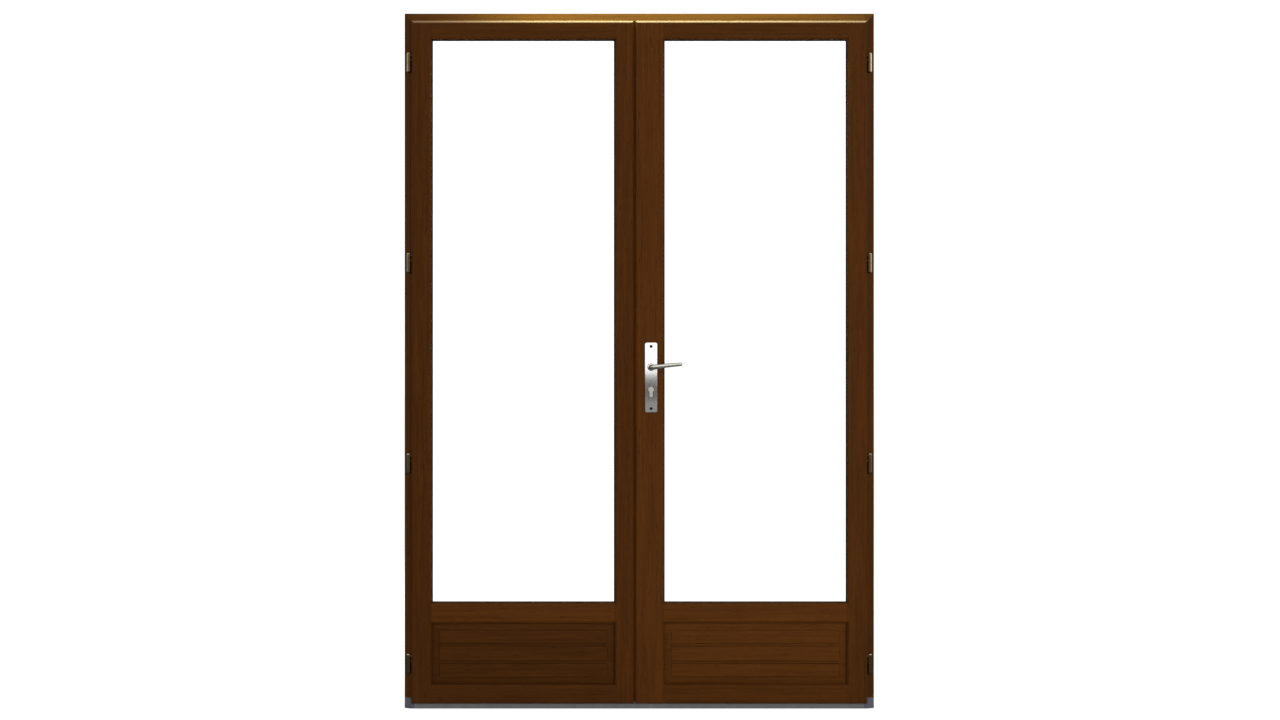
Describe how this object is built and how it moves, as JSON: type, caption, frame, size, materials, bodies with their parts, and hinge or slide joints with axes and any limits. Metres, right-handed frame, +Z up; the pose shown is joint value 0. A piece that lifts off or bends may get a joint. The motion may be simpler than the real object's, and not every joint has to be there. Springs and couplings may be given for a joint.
{
  "type": "french doors",
  "caption": "Pair of glazed wooden french doors over raised panels, in a wooden frame with a metal threshold, lever lock and flush bolts.",
  "frame": {"origin": "middle of the threshold's underside, at mid depth of the frame", "axes": "+Z up, +X to the right seen from the room, +Y to the outside; the leaves open towards -Y"},
  "size_m": [1.48, 0.173, 2.19],
  "materials": {
    "frame_wood": "dark stained and varnished",
    "stile_wood": "dark stained and varnished",
    "rail_wood": "dark stained and varnished",
    "panel_wood": "dark stained and varnished",
    "bead_wood": "dark stained and varnished",
    "clear_glass": "clear polished",
    "spacer_metal": "mill finish",
    "black_rubber": "matt",
    "threshold_metal": "anodised satin",
    "grey_block": "moulded matt",
    "gilt_hinge": "yellow passivated, satin",
    "handle_metal": "satin anodised",
    "cylinder_metal": "satin nickel plated",
    "zinc_steel": "bright zinc plated"
  },
  "bodies": {
    "frame": {"left_jamb": "frame_wood", "right_jamb": "frame_wood", "head": "frame_wood", "threshold": "threshold_metal", "left_end_block": "grey_block", "right_end_block": "grey_block", "frame_seal": "black_rubber", "threshold_seal": "black_rubber", "left_frame_knuckles": "gilt_hinge", "right_frame_knuckles": "gilt_hinge", "left_hinge_pins": "zinc_steel", "right_hinge_pins": "zinc_steel", "left_hinge_washers": "zinc_steel", "right_hinge_washers": "zinc_steel", "head_strike": "zinc_steel", "threshold_strike": "zinc_steel"},
    "left_leaf": {"left_hinge_stile": "stile_wood", "left_meeting_stile": "stile_wood", "left_top_rail": "rail_wood", "left_mid_rail": "rail_wood", "left_bottom_rail": "rail_wood", "left_panel": "panel_wood", "left_glass_panes": "clear_glass", "left_glass_spacer": "spacer_metal", "left_glazing_beads": "bead_wood", "left_drip_rail": "rail_wood", "left_leaf_knuckles": "gilt_hinge", "left_top_bolt_plate": "zinc_steel", "left_bottom_bolt_plate": "zinc_steel", "deadbolt_keep": "zinc_steel"},
    "right_leaf": {"right_hinge_stile": "stile_wood", "right_meeting_stile": "stile_wood", "right_top_rail": "rail_wood", "right_mid_rail": "rail_wood", "right_bottom_rail": "rail_wood", "right_panel": "panel_wood", "right_glass_panes": "clear_glass", "right_glass_spacer": "spacer_metal", "right_glazing_beads": "bead_wood", "right_drip_rail": "rail_wood", "right_leaf_knuckles": "gilt_hinge", "lock_case": "zinc_steel", "lock_faceplate": "zinc_steel", "cylinder_body": "cylinder_metal", "inside_plate": "handle_metal", "outside_plate": "handle_metal", "plate_screws": "zinc_steel", "meeting_seal": "black_rubber"},
    "lever": {"inside_lever": "handle_metal", "outside_lever": "handle_metal", "spindle": "zinc_steel"},
    "top_rod": {"top_rod": "zinc_steel"},
    "bottom_rod": {"bottom_rod": "zinc_steel"},
    "deadbolt": {"deadbolt": "zinc_steel"},
    "cylinder_plug": {"cylinder_plug": "cylinder_metal"},
    "left_top_bolt": {"left_top_bolt": "zinc_steel"},
    "left_bottom_bolt": {"left_bottom_bolt": "zinc_steel"}
  },
  "joints": [
    {"name": "left_leaf_swing", "type": "hinge", "parent": "frame", "child": "left_leaf", "pos_m": [-0.725, -0.038, 1.087], "axis": [0, 0, -1], "range_deg": [0, 170]},
    {"name": "right_leaf_swing", "type": "hinge", "parent": "frame", "child": "right_leaf", "pos_m": [0.725, -0.038, 1.087], "axis": [0, 0, 1], "range_deg": [0, 170]},
    {"name": "lever_lift", "type": "hinge", "parent": "right_leaf", "child": "lever", "pos_m": [0.037, -0.018, 1.075], "axis": [0, -1, 0], "range_deg": [0, 45]},
    {"name": "top_rod_slide", "type": "slide", "parent": "right_leaf", "child": "top_rod", "axis": [0, 0, 1], "range_m": [0, 0.016]},
    {"name": "bottom_rod_slide", "type": "slide", "parent": "right_leaf", "child": "bottom_rod", "axis": [0, 0, -1], "range_m": [0, 0.016]},
    {"name": "key_turn", "type": "hinge", "parent": "right_leaf", "child": "cylinder_plug", "pos_m": [0.037, -0.018, 1.005], "axis": [0, -1, 0], "range_deg": [0, 360]},
    {"name": "deadbolt_slide", "type": "slide", "parent": "right_leaf", "child": "deadbolt", "axis": [-1, 0, 0], "range_m": [0, 0.018]},
    {"name": "left_top_bolt_slide", "type": "slide", "parent": "left_leaf", "child": "left_top_bolt", "axis": [0, 0, 1], "range_m": [0, 0.015]},
    {"name": "left_bottom_bolt_slide", "type": "slide", "parent": "left_leaf", "child": "left_bottom_bolt", "axis": [0, 0, -1], "range_m": [0, 0.012]}
  ],
  "couplings": [
    {"joint": "top_rod_slide", "follows": "lever_lift", "m_per_rad": 0.02037},
    {"joint": "bottom_rod_slide", "follows": "lever_lift", "m_per_rad": 0.02037},
    {"joint": "key_turn", "follows": "deadbolt_slide", "rad_per_m": 349.06}
  ]
}
